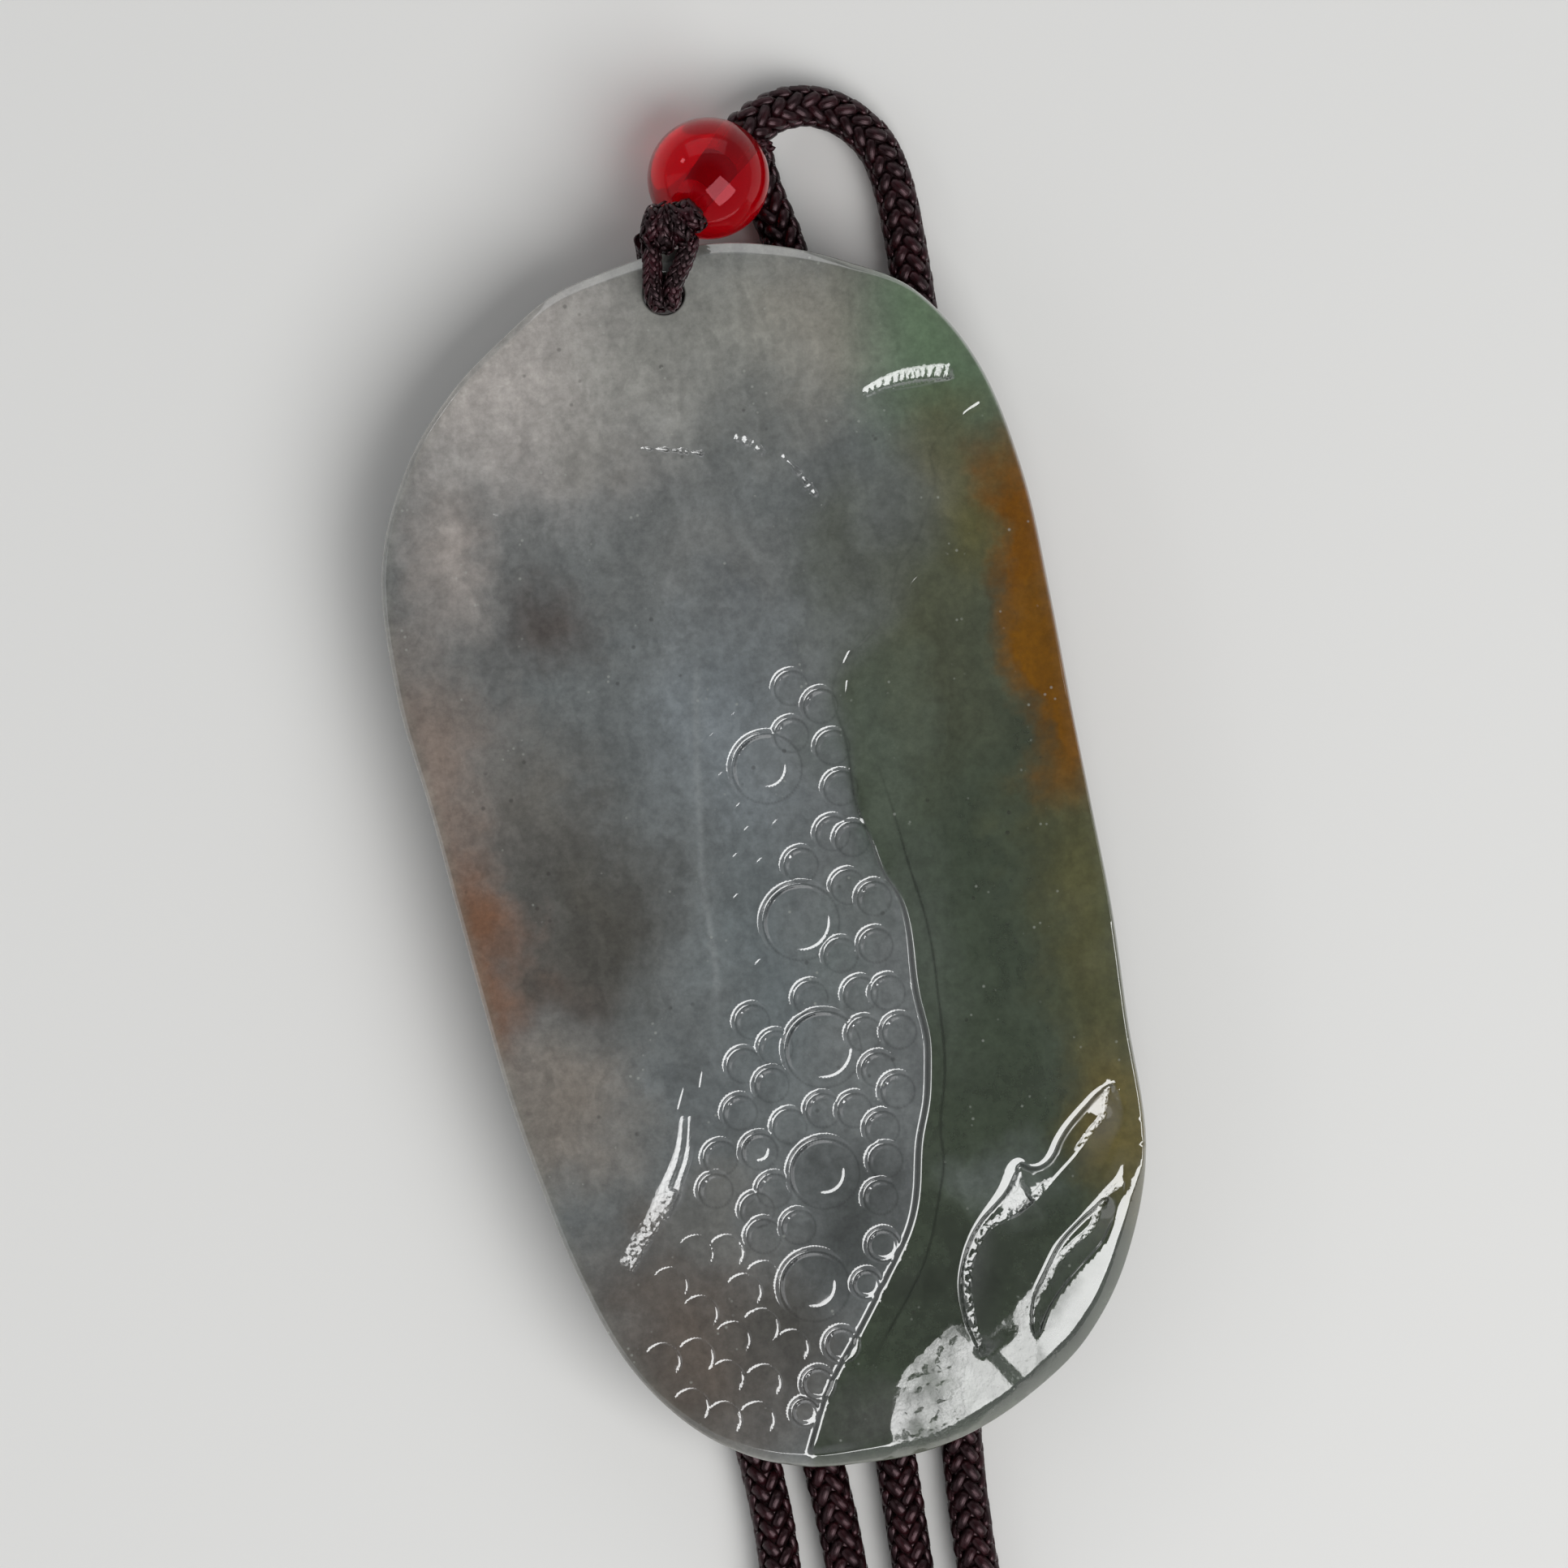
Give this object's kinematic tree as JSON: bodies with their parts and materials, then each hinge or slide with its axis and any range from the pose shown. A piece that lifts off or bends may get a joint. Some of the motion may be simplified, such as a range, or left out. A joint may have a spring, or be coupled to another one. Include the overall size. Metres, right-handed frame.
{
  "type": "jade pendant on a neck cord",
  "caption": "Carved jade pendant: a long pillow-shaped plaque with a stem, rosettes and leaves in low relief, hung by thin thread from a red glass bead on a braided neck cord.",
  "frame": {"origin": "middle of the jade plaque's own box, without its cord, bead and thread", "axes": "+Y runs along the plaque to its drilled end, +X is to the right seen from the carved front, +Z points out of the carved front; the surface that the cord lies on is at z = -5.45 mm"},
  "size_m": [0.04, 0.1561, 0.0103],
  "materials": {
    "jade": "polished",
    "red_glass": "polished",
    "thread": "waxed",
    "cord": "braided satin"
  },
  "bodies": {
    "root": {"jade_plaque": "jade", "glass_bead": "red_glass", "hanging_thread": "thread", "thread_knot": "thread", "neck_cord": "cord"}
  },
  "joints": []
}
